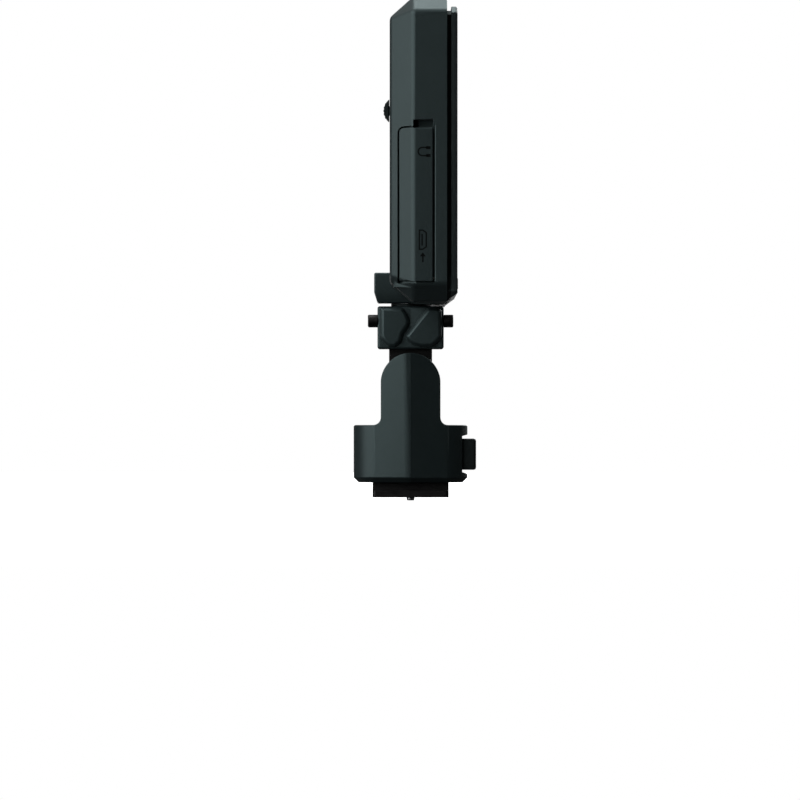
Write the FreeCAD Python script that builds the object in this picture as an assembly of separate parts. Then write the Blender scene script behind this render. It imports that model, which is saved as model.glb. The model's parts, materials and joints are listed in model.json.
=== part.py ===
import FreeCAD, Part
import math
import os

from FreeCAD import Vector

# Camera field monitor on a tilting and swivelling shoe foot, in millimetres.
# Origin: centre of the shoe plate's underside. +Z is up and the screen faces -Y,
# so +X is to the right of a person who looks at the screen.

# Clearances and overruns that all pieces share
overrun = 1.0
press_gap = 0.01
run_gap = 0.05
seam_gap = 0.01
slide_gap = 0.15
move_gap = 0.3

# Shoe plate
shoe_width = 18.5
shoe_length = 23.0
shoe_thickness = 2.0
shoe_neck_width = 12.4
shoe_neck_height = 2.5

# Foot shells with their fork neck
foot_length = 34.4
foot_width = 26.5
foot_height = 17.3
foot_shoulder_width = 22.4
foot_shoulder_reach = 10.8
foot_end_width = 10.0
foot_end_bulge = 0.83
foot_ridge_flat = 2.0
foot_bottom_chamfer = 1.5
foot_top_round = 0.6
neck_length = 18.0
neck_rise = 13.4
dome_rise = 8.4
neck_fillet = 2.4

# Base plate in the foot's underside
base_width = 16.4
base_thickness = 2.0
base_front = 12.0
base_rear = 9.2
base_ledge = 0.9

# Release button, slider, lock pin and leaf springs
button_width = 12.0
button_height = 9.4
button_rise = 8.5
button_stand = 2.6
button_travel = 1.5
button_flange = 1.2
button_flange_thickness = 1.4
button_bevel = 0.4
button_recess_depth = 1.6
button_recess_margin = 0.8
button_recess_flare = 0.7
foot_end_wall = 2.4
spring_room = 3.4
spring_strip = 0.3
spring_width = 2.4
spring_inset = 1.2
slider_width = 6.4
slider_height = 6.4
slider_rear = 4.5
slider_spigot_radius = 1.5
slider_spigot_length = 3.0
lock_pin_radius = 1.2
lock_pin_stand = 1.0
lock_pin_rise = 1.2
lock_pin_length = 14.0
cross_pin_radius = 0.6
cross_pin_height = 10.2

# Tilt hinge
tilt_pin_radius = 2.0
tilt_pin_cover = 2.0
tongue_thickness = 8.7
tongue_length = 13.0
tongue_floor_gap = 1.2
washer_floor_gap = 0.5
washer_thickness = 0.25

# Hinge block
block_gap = 0.6
block_length = 20.0
block_width = 18.4
block_height = 12.9
block_round = 0.7
block_floor = 1.8
pad_thickness = 1.8
bracket_head_width = 15.0
bracket_head_height = 2.6
front_pad_shares = [(-0.94, 0.30), (-0.94, 0.90), (-0.80, 0.97), (-0.52, 0.97), (0.16, 0.31), (0.10, 0.20),
                    (-0.06, 0.11), (-0.30, 0.05), (-0.64, 0.05), (-0.84, 0.17)]
rear_pad_shares = [(0.92, 0.30), (0.92, 0.97), (0.25, 0.97), (0.11, 0.83), (0.04, 0.68), (0.05, 0.56),
                   (0.22, 0.36), (0.30, 0.16), (0.46, 0.05), (0.66, 0.05), (0.83, 0.16)]

# Block bolts and nuts
bolt_spread = 15.2
bolt_drop = 4.4
bolt_radius = 1.0
bolt_head_radius = 1.85
bolt_head_height = 2.9

# Swivel post, washer and boss
post_radius = 4.0
post_flange_radius = 6.0
post_flange_thickness = 2.0
post_spigot_radius = 3.0
post_spigot_length = 5.0
swivel_washer_radius = 5.9
swivel_washer_thickness = 0.9
boss_half = 11.0
boss_height = 9.1
boss_chamfer_height = 3.2
boss_chamfer_inset = 1.0
boss_front_reach = 6.2
ear_span = 34.0
ear_thickness = 2.4
ear_height = 6.0
ear_screw_spread = 29.0

# Monitor case
case_gap = 0.6
case_width = 140.0
case_height = 89.8
case_rear = 6.25
case_chamfer_depth = 6.9
case_chamfer_inset = 6.0
case_side_depth = 10.0
case_wall = 1.8
case_top_corner = 4.2
case_bottom_corner = 5.2
case_edge_round = 2.3
case_round_share = 0.9
offset_tolerance = 0.001

# Front bezel, groove and mid frame
groove_depth = 1.2
groove_inset = 1.2
groove_low = 7.6
bezel_thickness = 1.9
bezel_side_inset = 2.5
bezel_top_inset = 2.9
bezel_bottom_inset = 0.3
bezel_chamfer_rise = 2.3
bezel_corner_inset = 2.4
bezel_edge_chamfer = 0.4
ring_depth = 2.15

# Screen
panel_side_margin = 9.65
panel_top_margin = 5.45
panel_key_wall = 0.05
panel_thickness = 3.3
window_side_margin = 4.35
window_end_margin = 5.75
glass_lap = 2.8
glass_thickness = 1.0

# Chassis plate and main board
chassis_side_reach = 4.35
chassis_end_reach = 0.25
chassis_thickness = 0.8
chassis_screw_inset = 1.7
board_side_margin = 24.0
board_low = 13.5
board_top_margin = 14.3
board_thickness = 1.6
board_margin = 3.0
standoff_height = 2.0
standoff_radius = 2.2
chip_side = 11.0
chip_height = 1.4
chip_pitch = 20.0
chip_count = 3
chip_drop = 1.0
flex_width = 24.0
flex_thickness = 0.3
flex_rise = 17.0

# Small screws
screw_radius = 0.8
screw_head_radius = 1.5
screw_head_height = 1.0
screw_cross_width = 0.45
screw_cross_depth = 0.5
screw_bite = 3.0
case_screw_side = 18.0
case_screw_low = 13.0
case_screw_top = 11.1
case_screw_sink = 4.5
post_wall = 1.1
shoe_screw_spread_x = 10.4
shoe_screw_spread_y = 12.0
foot_screw_spread = 12.0
foot_screw_bite = 6.0

# Terminal cover, bay and sockets on the left edge
cover_low = 5.9
cover_length = 45.2
cover_front = -6.5
cover_rear = 3.45
cover_thickness = 1.6
cover_gap = 0.5
cover_tail = 0.6
cover_corner = 1.4
bay_depth = 2.0
bay_pad = 3.2
bay_margin = 1.2
notch_height = 2.4
notch_depth = 4.2
cover_pin_radius = 0.4
cover_pin_hold = 2.6
socket_line = -4.0
headphone_rise = 44.3
headphone_bore_radius = 1.75
headphone_barrel_radius = 2.5
headphone_step = 2.0
headphone_block = 6.4
video_rise = 17.7
video_mouth_width = 2.4
video_mouth_length = 10.4
video_mouth_depth = 7.0
video_shell = 0.5
socket_depth = 9.0
jack_board_thickness = 1.0
jack_board_low = 12.0
jack_board_height = 38.5
jack_board_width = 9.6

# Battery, its door and its latch on the rear
door_width = 60.0
door_low = 13.0
door_top_margin = 36.4
door_thickness = 1.5
door_roll_radius = 1.0
door_pin_radius = 0.5
door_pin_hold = 2.0
battery_width = 54.0
battery_low_margin = 3.8
battery_thickness = 5.6
battery_room = 0.8
battery_wall = 1.2
contact_width = 2.0
contact_pitch = 6.0
contact_count = 3
latch_width = 10.0
latch_height = 6.7
latch_door_gap = 1.9
latch_stand = 1.85
latch_travel = 2.5
latch_lift = 0.2
latch_plate = 1.2
latch_stem_width = 4.0
latch_stem_height = 2.8
latch_spring_room = 4.2

# Front keys
key_names = ["power", "menu", "back", "minus", "plus"]
key_pitch = 13.0
key_width = 8.0
key_height = 3.4
key_rise = 5.9
key_stand = 0.4
key_travel = 0.4
key_flange = 0.5
key_flange_thickness = 0.6
key_board_thickness = 1.0
key_switch_side = 2.6
key_switch_height = 0.7

# Levels and planes that several pieces share
foot_bottom = shoe_thickness + shoe_neck_height
foot_top = foot_bottom + foot_height
tilt_z = foot_top + neck_rise
dome_radius = neck_length / 2
tongue_radius = tongue_length / 2
slot_floor = tilt_z - tongue_radius - tongue_floor_gap
washer_radius = tilt_z - slot_floor - washer_floor_gap
slot_half = tongue_thickness / 2 + washer_thickness + 2 * run_gap
block_bottom = tilt_z + dome_radius + block_gap
block_top = block_bottom + block_height
head_bottom = block_bottom + block_floor
head_top = head_bottom + bracket_head_height
flange_bottom = head_top + move_gap
flange_top = flange_bottom + post_flange_thickness
boss_bottom = block_top + swivel_washer_thickness + 2 * run_gap
boss_top = boss_bottom + boss_height
case_bottom = block_top + case_gap
case_top = case_bottom + case_height
case_half = case_width / 2
case_knee = case_rear - case_chamfer_depth
case_mouth = case_knee - case_side_depth
bezel_back = case_mouth - groove_depth
bezel_front = bezel_back - bezel_thickness
ring_back = case_mouth + ring_depth
panel_low_margin = key_rise + key_height / 2 + key_flange + 2 * slide_gap + panel_key_wall
panel_width = case_width - 2 * panel_side_margin
panel_height = case_height - panel_low_margin - panel_top_margin
panel_z = case_bottom + panel_low_margin + panel_height / 2
window_width = panel_width - 2 * window_side_margin
window_height = panel_height - 2 * window_end_margin
glass_width = window_width + 2 * glass_lap
glass_height = window_height + 2 * glass_lap
chassis_width = panel_width + 2 * chassis_side_reach
chassis_height = panel_height + 2 * chassis_end_reach
board_width = case_width - 2 * board_side_margin
board_bottom = case_bottom + board_low
board_top = case_top - board_top_margin
chassis_back = ring_back + chassis_thickness
board_front = chassis_back + standoff_height
board_back = board_front + board_thickness
inner_rear = case_rear - case_wall
side_turn = math.atan2(case_chamfer_inset, case_chamfer_depth)
corner_shrink_share = 2 - math.sqrt(2)
rear_corner_room = case_top_corner / corner_shrink_share - case_chamfer_inset
most_case_round = rear_corner_room / math.tan(math.pi / 4 - side_turn / 2)
case_rounding = min(case_edge_round, case_round_share * most_case_round)
half_diagonal_share = math.sqrt(0.5)
foot_end = foot_length / 2
foot_inner_end = foot_end - button_recess_depth - foot_end_wall
base_top = foot_bottom + base_thickness
button_low = button_rise - button_height / 2 + foot_bottom
button_high = button_low + button_height
flange_back = foot_inner_end - run_gap - button_flange_thickness
channel_front = flange_back - spring_room
slider_low = base_top + slide_gap
slider_high = slider_low + slider_height
bolt_z = block_top - bolt_drop
door_axis_y = case_rear - door_roll_radius
door_axis_z = case_bottom + door_low + door_roll_radius
door_high = case_top - door_top_margin
battery_height = door_high - 2 * battery_room - case_bottom - door_low - battery_low_margin
latch_low = door_high + latch_door_gap
latch_high = latch_low + latch_height
cover_bottom = case_bottom + cover_low
cover_top = cover_bottom + cover_length
cover_axis_x = -case_half + cover_thickness / 2
cover_axis_z = cover_bottom + cover_thickness / 2
key_z = case_bottom + key_rise
key_count = len(key_names)
key_board_front = ring_back - key_board_thickness

x_axis = Vector(1, 0, 0)
y_axis = Vector(0, 1, 0)
z_axis = Vector(0, 0, 1)
sides = (-1, 1)


def block(x_low, x_high, y_low, y_high, z_low, z_high):
    size = Vector(x_high - x_low, y_high - y_low, z_high - z_low)
    return Part.makeBox(size.x, size.y, size.z, Vector(x_low, y_low, z_low))


def rod(radius, length, start, axis):
    return Part.makeCylinder(radius, length, start, axis)


def rod_between(radius, start, end):
    return Part.makeCylinder(radius, (end - start).Length, start, end - start)


def prism(points, sweep):
    face = Part.Face(Part.makePolygon(points + points[:1]))
    return face.extrude(sweep)


def line(start, end):
    return Part.LineSegment(start, end).toShape()


def arc(start, middle, end):
    return Part.Arc(start, middle, end).toShape()


def join(shapes):
    first = shapes[0]
    return first.fuse(shapes[1:]).removeSplitter()


def group(shapes):
    return Part.makeCompound(shapes)


def split_along_y(shape, sign):
    box = shape.BoundBox
    edges = sorted([sign * seam_gap / 2, sign * (box.DiagonalLength + overrun)])
    keep = block(box.XMin - overrun, box.XMax + overrun, edges[0], edges[1],
                 box.ZMin - overrun, box.ZMax + overrun)
    return shape.common(keep)


def screw(head_radius, head_height, shaft_radius, length, seat, axis):
    """Screw with a crossed recess: its head stands back from the seat, its shaft runs along the axis."""
    head = rod(head_radius, head_height, Vector(0, 0, -head_height), z_axis)
    shaft = rod(shaft_radius, length, Vector(0, 0, 0), z_axis)
    reach = head_radius / 2
    wide = screw_cross_width / 2
    floor = -head_height + screw_cross_depth
    cross = [block(-reach, reach, -wide, wide, -head_height - overrun, floor),
             block(-wide, wide, -reach, reach, -head_height - overrun, floor)]
    solid = join([head, shaft]).cut(cross)
    solid.Placement = FreeCAD.Placement(seat, FreeCAD.Rotation(z_axis, axis))
    return solid


def screw_hole(head_radius, sink, shaft_radius, length, seat, axis):
    hole = join([rod(head_radius + slide_gap, sink + overrun, Vector(0, 0, -sink - overrun), z_axis),
                 rod(shaft_radius + press_gap, length, Vector(0, 0, 0), z_axis)])
    hole.Placement = FreeCAD.Placement(seat, FreeCAD.Rotation(z_axis, axis))
    return hole


def small_screws(places, length, axis):
    return group([screw(screw_head_radius, screw_head_height, screw_radius, length, place, axis)
                  for place in places])


def small_screw_holes(places, sink, length, axis):
    return [screw_hole(screw_head_radius, sink, screw_radius, length, place, axis) for place in places]


# Foot: two shells that trap the tilt pin between them

def foot_profile():
    """Outline seen from the side: foot, fillets, neck and dome."""
    x = -foot_width / 2 - overrun
    neck = neck_length / 2
    edges = [line(Vector(x, -foot_end, foot_bottom), Vector(x, foot_end, foot_bottom)),
             arc(Vector(x, neck, tilt_z), Vector(x, 0, tilt_z + dome_rise), Vector(x, -neck, tilt_z))]
    for side in sides:
        round_y = foot_end - foot_top_round
        round_z = foot_top - foot_top_round
        fillet_y = neck + neck_fillet
        fillet_z = foot_top + neck_fillet
        lean = half_diagonal_share * foot_top_round
        hollow = half_diagonal_share * neck_fillet
        edges += [line(Vector(x, side * foot_end, foot_bottom), Vector(x, side * foot_end, round_z)),
                  arc(Vector(x, side * foot_end, round_z), Vector(x, side * (round_y + lean), round_z + lean),
                      Vector(x, side * round_y, foot_top)),
                  line(Vector(x, side * round_y, foot_top), Vector(x, side * fillet_y, foot_top)),
                  arc(Vector(x, side * fillet_y, foot_top),
                      Vector(x, side * (fillet_y - hollow), fillet_z - hollow),
                      Vector(x, side * neck, fillet_z)),
                  line(Vector(x, side * neck, fillet_z), Vector(x, side * neck, tilt_z))]
    wire = Part.Wire(Part.__sortEdges__(edges))
    return Part.Face(wire).extrude(x_axis * (foot_width + 2 * overrun))


def foot_outline(z):
    """Outline seen from above: ridges with a flat behind the seam, and round ends cut off flat."""
    ridge = foot_width / 2
    shoulder = foot_shoulder_width / 2
    end = foot_end_width / 2
    edges = [line(Vector(hand * ridge, 0, z), Vector(hand * ridge, foot_ridge_flat, z)) for hand in sides]
    for side, ridge_y in ((-1, 0), (1, foot_ridge_flat)):
        edges.append(line(Vector(-end, side * foot_end, z), Vector(end, side * foot_end, z)))
        for hand in sides:
            start = Vector(hand * shoulder, side * foot_shoulder_reach, z)
            stop = Vector(hand * end, side * foot_end, z)
            outward = (stop - start).cross(z_axis).normalize() * hand * side * foot_end_bulge
            edges.append(line(Vector(hand * ridge, ridge_y, z), start))
            edges.append(arc(start, (start + stop) / 2 + outward, stop))
    return Part.Wire(Part.__sortEdges__(edges))


def foot_form():
    """Side profile and plan crossed, with a chamfer round the underside."""
    rim = foot_outline(foot_bottom).makeOffset2D(-foot_bottom_chamfer)
    outline = foot_outline(foot_bottom + foot_bottom_chamfer)
    flare = Part.makeLoft([rim, outline], True, True)
    column = Part.Face(outline).extrude(z_axis * (tilt_z + dome_radius))
    return foot_profile().common(join([flare, column]))


def button_recess():
    low = button_low - button_recess_margin
    high = button_high + button_recess_margin
    inner = -foot_end + button_recess_depth
    outer = -foot_end - overrun
    x = -foot_width / 2 - overrun
    points = [Vector(x, outer, low - button_recess_flare), Vector(x, inner, low),
              Vector(x, inner, high), Vector(x, outer, high + button_recess_flare)]
    return prism(points, x_axis * (foot_width + 2 * overrun))


def foot_cavity():
    chamber = button_width / 2 + button_flange + slide_gap
    channel = slider_width / 2 + slide_gap
    low = foot_bottom - overrun
    high = button_high + button_flange + slide_gap
    room = slider_high + lock_pin_rise + slide_gap
    opening = button_width / 2 + slide_gap
    return [block(-chamber, chamber, -foot_inner_end, -channel_front, low, high),
            block(-channel, channel, -channel_front - overrun, base_rear - base_ledge, low, room),
            block(-opening, opening, -foot_end - overrun, -foot_inner_end + overrun,
                  button_low - slide_gap, button_high + slide_gap),
            block(-base_width / 2, base_width / 2, -base_front, base_rear, low, base_top),
            rod(lock_pin_radius + slide_gap, lock_pin_length + lock_pin_rise + move_gap - lock_pin_stand,
                Vector(0, 0, 0), z_axis)]


def foot_screw_places():
    z = (foot_top + slot_floor) / 2
    seat = neck_length / 2 - screw_head_height - slide_gap
    return [Vector(hand * foot_screw_spread / 2, seat, z) for hand in sides]


def foot_screw_length():
    return neck_length / 2 - screw_head_height + foot_screw_bite


def tilt_pin_half():
    return foot_width / 2 - tilt_pin_cover


def foot_solid():
    solid = foot_form().cut(foot_cavity() + [button_recess()])
    slot = block(-slot_half, slot_half, -foot_end, foot_end, slot_floor, tilt_z + dome_radius + overrun)
    pin_hole = rod(tilt_pin_radius + press_gap, 2 * tilt_pin_half() + 2 * press_gap,
                   Vector(-tilt_pin_half() - press_gap, 0, tilt_z), x_axis)
    holes = small_screw_holes(foot_screw_places(), screw_head_height, foot_screw_length(), -y_axis)
    return solid.cut([slot, pin_hole] + holes + shoe_screw_holes())


def shoe_screw_places():
    seat = screw_head_height + slide_gap
    return [Vector(hand * shoe_screw_spread_x / 2, side * shoe_screw_spread_y / 2, seat)
            for hand in sides for side in sides]


def shoe_screw_length():
    return base_top + screw_bite - screw_head_height


def shoe_screw_holes():
    return small_screw_holes(shoe_screw_places(), screw_head_height, shoe_screw_length() + slide_gap, z_axis)


def shoe_plate():
    half = shoe_length / 2
    flange = block(-shoe_width / 2, shoe_width / 2, -half, half, 0, shoe_thickness)
    upright = [edge for edge in flange.Edges if edge.Length == shoe_thickness]
    flange = flange.makeFillet(shoe_thickness / 2, upright)
    neck = block(-shoe_neck_width / 2, shoe_neck_width / 2, -half, half, shoe_thickness, foot_bottom)
    pin_hole = rod(lock_pin_radius + run_gap, foot_bottom + 2 * overrun, Vector(0, 0, -overrun), z_axis)
    return join([flange, neck]).cut([pin_hole] + shoe_screw_holes())


def base_plate():
    half = base_width / 2 - press_gap
    plate = block(-half, half, -base_front + press_gap, base_rear - press_gap, foot_bottom, base_top)
    pin_hole = rod(lock_pin_radius + run_gap, base_thickness + 2 * overrun,
                   Vector(0, 0, foot_bottom - overrun), z_axis)
    return plate.cut([pin_hole] + shoe_screw_holes())


# Release button, slider and lock pin

def release_button():
    half = button_width / 2
    front = -foot_end - button_stand
    cap = block(-half, half, front, -flange_back, button_low, button_high)
    rim = [edge for edge in cap.Edges if edge.BoundBox.YMax < front + press_gap]
    cap = cap.makeChamfer(button_bevel, rim)
    wide = half + button_flange
    flange = block(-wide, wide, -foot_inner_end + run_gap, -flange_back,
                   button_low - button_flange, button_high + button_flange)
    socket = rod(slider_spigot_radius + press_gap, slider_spigot_length + overrun,
                 Vector(0, -flange_back + overrun, (slider_low + slider_high) / 2), -y_axis)
    return join([cap, flange]).cut(socket)


def button_slider():
    half = slider_width / 2
    body = block(-half, half, -flange_back, slider_rear, slider_low, slider_high)
    middle = Vector(0, -flange_back, (slider_low + slider_high) / 2)
    spigot = rod(slider_spigot_radius, slider_spigot_length, middle, -y_axis)
    room = lock_pin_radius + slide_gap
    pin_slot = block(-room, room, -button_travel - room, room, slider_low - overrun, slider_high + overrun)
    reach = cross_pin_radius + slide_gap
    low = Vector(-half - overrun, 0, cross_pin_height)
    high = low + Vector(0, -button_travel, lock_pin_rise)
    lean = (high - low).normalize().cross(x_axis) * reach
    across = x_axis * (slider_width + 2 * overrun)
    ramp = prism([low + lean, high + lean, high - lean, low - lean], across)
    ends = [rod(reach, across.Length, point, x_axis) for point in (low, high)]
    return join([body, spigot]).cut([pin_slot, ramp] + ends)


def lock_pin():
    pin = rod(lock_pin_radius, lock_pin_length, Vector(0, 0, -lock_pin_stand), z_axis)
    pin = pin.makeChamfer(lock_pin_radius / 4, [pin.Edges[0], pin.Edges[2]])
    hole = rod(cross_pin_radius + press_gap, 2 * lock_pin_radius + 2 * overrun,
               Vector(-lock_pin_radius - overrun, 0, cross_pin_height), x_axis)
    return pin.cut(hole)


def cross_pin():
    half = slider_width / 2 - slide_gap
    return rod(cross_pin_radius, 2 * half, Vector(-half, 0, cross_pin_height), x_axis)


def bow_strip(foot_low, foot_high, crown, width_step):
    """Bowed leaf: both feet stand on one plane, and the crown reaches the piece that it pushes."""
    middle = (foot_low + foot_high) / 2 + crown
    step = crown.normalize() * spring_strip
    outer = arc(foot_low, middle, foot_high)
    inner = arc(foot_high + step, middle + step, foot_low + step)
    ends = [line(foot_high, foot_high + step), line(foot_low + step, foot_low)]
    return Part.Face(Part.Wire([outer, ends[0], inner, ends[1]])).extrude(width_step)


def button_spring():
    low = button_low - spring_inset / 2
    high = button_high + spring_inset / 2
    strips = []
    for hand in sides:
        x = hand * (slider_width / 2 + spring_inset) - (spring_width if hand < 0 else 0)
        feet = [Vector(x, -channel_front - run_gap, z) for z in (low, high)]
        crown = Vector(0, -spring_room + spring_strip + 2 * run_gap, 0)
        strips.append(bow_strip(feet[0], feet[1], crown, x_axis * spring_width))
    return group(strips)


# Tilt hinge

def tilt_pin():
    return rod(tilt_pin_radius, 2 * tilt_pin_half(), Vector(-tilt_pin_half(), 0, tilt_z), x_axis)


def friction_washers():
    washers = []
    for hand in sides:
        start = Vector(hand * (tongue_thickness / 2 + run_gap), 0, tilt_z)
        ring = rod(washer_radius, washer_thickness, start, x_axis * hand)
        washers.append(ring.cut(rod(tilt_pin_radius + press_gap, washer_thickness, start, x_axis * hand)))
    return group(washers)


def tilt_bracket():
    half = tongue_thickness / 2
    start = Vector(-half, 0, tilt_z)
    tongue = join([rod(tongue_radius, tongue_thickness, start, x_axis),
                   block(-half, half, -tongue_radius, tongue_radius, tilt_z, head_bottom)])
    wide = bracket_head_width / 2
    head = block(-wide, wide, -wide, wide, head_bottom, head_top)
    bore = rod(tilt_pin_radius + run_gap, tongue_thickness + 2 * overrun, start - x_axis * overrun, x_axis)
    return join([tongue, head]).cut(bore)


# Hinge block: two shells round the bracket's head and the post's flange

def pad(shares, hand):
    points = [Vector(hand * block_width / 2, y * block_length / 2, block_bottom + z * block_height)
              for y, z in shares]
    plate = prism(points, x_axis * hand * pad_thickness)
    face = [edge for edge in plate.Edges
            if abs(edge.BoundBox.Center.x) > block_width / 2 + pad_thickness - press_gap]
    return plate.makeChamfer(pad_thickness / 2, face)


def block_cavity():
    tongue_x = tongue_thickness / 2 + press_gap
    tongue_y = tongue_radius + press_gap
    head = bracket_head_width / 2 + press_gap
    return [block(-tongue_x, tongue_x, -tongue_y, tongue_y, block_bottom - overrun, head_bottom + press_gap),
            block(-head, head, -head, head, head_bottom - press_gap, head_top + press_gap),
            rod_between(post_flange_radius + slide_gap, Vector(0, 0, head_top),
                        Vector(0, 0, flange_top + slide_gap)),
            rod_between(post_radius + run_gap, Vector(0, 0, head_top), Vector(0, 0, block_top + overrun))]


def bolt_places(y):
    return [Vector(hand * bolt_spread / 2, y, bolt_z) for hand in sides]


def block_shell(sign, shares):
    half = block_width / 2
    core = block(-half, half, -block_length / 2, block_length / 2, block_bottom, block_top)
    core = core.makeFillet(block_round, core.Edges)
    holes = [rod(bolt_radius + press_gap, block_length + 2 * overrun, place, y_axis)
             for place in bolt_places(-block_length / 2 - overrun)]
    shell = split_along_y(core.cut(block_cavity() + holes), sign)
    return join([shell] + [pad(shares, hand) for hand in sides])


def block_bolts():
    length = block_length + bolt_head_height / 2
    return group([screw(bolt_head_radius, bolt_head_height, bolt_radius, length, place, y_axis)
                  for place in bolt_places(-block_length / 2)])


def block_nuts():
    nuts = []
    for place in bolt_places(block_length / 2):
        body = rod(bolt_head_radius, bolt_head_height, place, y_axis)
        body = body.makeChamfer(bolt_radius / 4, [body.Edges[0]])
        nuts.append(body.cut(rod(bolt_radius + press_gap, bolt_head_height / 2 + press_gap, place, y_axis)))
    return group(nuts)


def swivel_washer():
    start = Vector(0, 0, block_top + run_gap)
    ring = rod(swivel_washer_radius, swivel_washer_thickness, start, z_axis)
    return ring.cut(rod(post_radius + run_gap, swivel_washer_thickness, start, z_axis))


# Swivel post and boss under the monitor

def swivel_post():
    return join([rod(post_flange_radius, post_flange_thickness, Vector(0, 0, flange_bottom), z_axis),
                 rod(post_radius, boss_bottom - flange_bottom, Vector(0, 0, flange_bottom), z_axis),
                 rod(post_spigot_radius, post_spigot_length, Vector(0, 0, boss_bottom), z_axis)])


def boss_form(grow):
    """Boss block with a tapered foot, grown by a clearance."""
    half = boss_half + grow
    front = -boss_front_reach - grow
    knee = boss_bottom + boss_chamfer_height
    wires = []
    for inset, z in ((boss_chamfer_inset, boss_bottom), (0, knee)):
        reach = half - inset
        points = [Vector(-reach, front, z), Vector(reach, front, z), Vector(reach, reach, z),
                  Vector(-reach, reach, z)]
        wires.append(Part.makePolygon(points + points[:1]))
    upper = block(-half, half, front, half, knee, boss_top + grow)
    return join([Part.makeLoft(wires, True, True), upper])


def boss_screw_places():
    z = case_bottom + case_wall + slide_gap + ear_height / 2
    return [Vector(hand * ear_screw_spread / 2, -boss_front_reach, z) for hand in sides]


def boss_screw_holes():
    return small_screw_holes(boss_screw_places(), screw_head_height, ear_thickness + screw_bite, y_axis)


def swivel_boss():
    ear_low = case_bottom + case_wall + slide_gap
    ears = block(-ear_span / 2, ear_span / 2, -boss_front_reach, -boss_front_reach + ear_thickness,
                 ear_low, ear_low + ear_height)
    spigot = rod(post_spigot_radius + press_gap, post_spigot_length + press_gap,
                 Vector(0, 0, boss_bottom), z_axis)
    return join([boss_form(0), ears]).cut([spigot] + boss_screw_holes())


# Monitor case

def octagon(half, low, high, low_leg, high_leg, y):
    right = [Vector(half - low_leg, y, low), Vector(half, y, low + low_leg),
             Vector(half, y, high - high_leg), Vector(half - high_leg, y, high)]
    left = [Vector(-point.x, y, point.z) for point in reversed(right)]
    return right + left


def case_outline(inset, y):
    shrink = corner_shrink_share * inset
    return octagon(case_half - inset, case_bottom + inset, case_top - inset, case_bottom_corner - shrink,
                   case_top_corner - shrink, y)


def knee_at(inset):
    return case_knee - inset * math.tan(side_turn / 2)


def rear_inset_at(inset):
    return case_chamfer_inset + inset * math.tan(math.pi / 4 - side_turn / 2)


def case_form(inset, mouth):
    """Tub with chamfered rear edges, its walls moved inwards by an inset."""
    knee = knee_at(inset)
    tub = prism(case_outline(inset, mouth), y_axis * (knee - mouth))
    wires = []
    for place, y in ((inset, knee), (rear_inset_at(inset), case_rear - inset)):
        points = case_outline(place, y)
        wires.append(Part.makePolygon(points + points[:1]))
    return join([tub, Part.makeLoft(wires, True, True)])


def rounded_case():
    """Outer tub with all its edges behind the mouth rounded: a smaller tub grown outwards."""
    core = case_form(case_rounding, case_mouth - 2 * case_rounding)
    grown = core.makeOffsetShape(case_rounding, offset_tolerance, join=0)
    ahead = block(-case_width, case_width, case_mouth - case_width, case_mouth, case_bottom - case_width,
                  case_top + case_width)
    return Part.makeSolid(grown).cut(ahead)


def edge_prism(inset, low, high):
    """Left edge of the case between two heights, its outer walls moved inwards by an inset."""
    left = -case_half + inset
    knee = knee_at(inset)
    behind = case_rear + overrun
    rear = left + (behind - knee) * case_chamfer_inset / case_chamfer_depth
    points = [Vector(left, case_mouth, low), Vector(left, knee, low), Vector(rear, behind, low),
              Vector(0, behind, low), Vector(0, case_mouth, low)]
    return prism(points, z_axis * (high - low))


def edge_skin(outer, inner, front, rear, low, high):
    """Strip of the left edge that lies between two insets."""
    keep = block(-case_half - overrun, 0, front, rear, low, high)
    return edge_prism(outer, low, high).cut(edge_prism(inner, low, high)).common(keep)


def round_upper_rear(skin, radius):
    """Round the corner where a strip's top end meets its rear end."""
    box = skin.BoundBox
    corner = [edge for edge in skin.Edges
              if edge.BoundBox.YMin > box.YMax - press_gap and edge.BoundBox.ZMin > box.ZMax - press_gap]
    return skin.makeFillet(radius, corner)


def bay_recess():
    recess = edge_skin(-overrun, bay_depth, cover_front - cover_gap, cover_rear + cover_gap,
                       cover_bottom - cover_gap, cover_top + cover_gap)
    recess = round_upper_rear(recess, cover_corner + cover_gap)
    notch = edge_skin(-overrun, notch_depth, cover_front, knee_at(0), cover_top, cover_top + notch_height)
    return [recess, notch]


def bay_pad_skin():
    low = cover_bottom - cover_gap - bay_margin
    high = cover_top + notch_height + bay_margin
    return edge_skin(case_wall / 2, bay_depth + bay_pad, cover_front - cover_gap - bay_margin,
                     cover_rear + cover_gap + bay_margin, low, high)


def cover_pin_start():
    return Vector(cover_axis_x, cover_front - cover_gap - cover_pin_hold, cover_axis_z)


def cover_pin_end():
    return Vector(cover_axis_x, knee_at(cover_thickness) - overrun, cover_axis_z)


def socket_front():
    return -case_half + bay_depth


def headphone_place():
    return Vector(socket_front(), socket_line, case_bottom + headphone_rise)


def video_place():
    return Vector(socket_front(), socket_line, case_bottom + video_rise)


def video_block(front, grow):
    place = video_place()
    wide = video_mouth_width / 2 + video_shell + grow
    tall = video_mouth_length / 2 + video_shell + grow
    return block(front, place.x + socket_depth, place.y - wide, place.y + wide,
                 place.z - tall, place.z + tall)


def socket_holes():
    start = headphone_place() - x_axis * overrun
    barrel = rod(headphone_barrel_radius + slide_gap, bay_pad + 2 * overrun, start, x_axis)
    return [barrel, video_block(socket_front() - overrun, slide_gap)]


def case_screw_places():
    seat = case_rear - case_screw_sink
    spread = case_half - case_screw_side
    return [Vector(hand * spread, seat, z)
            for hand in sides for z in (case_bottom + case_screw_low, case_top - case_screw_top)]


def case_screw_length():
    return case_rear - case_screw_sink - ring_back


def case_screw_holes():
    return small_screw_holes(case_screw_places(), case_screw_sink, case_screw_length() + slide_gap, -y_axis)


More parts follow.
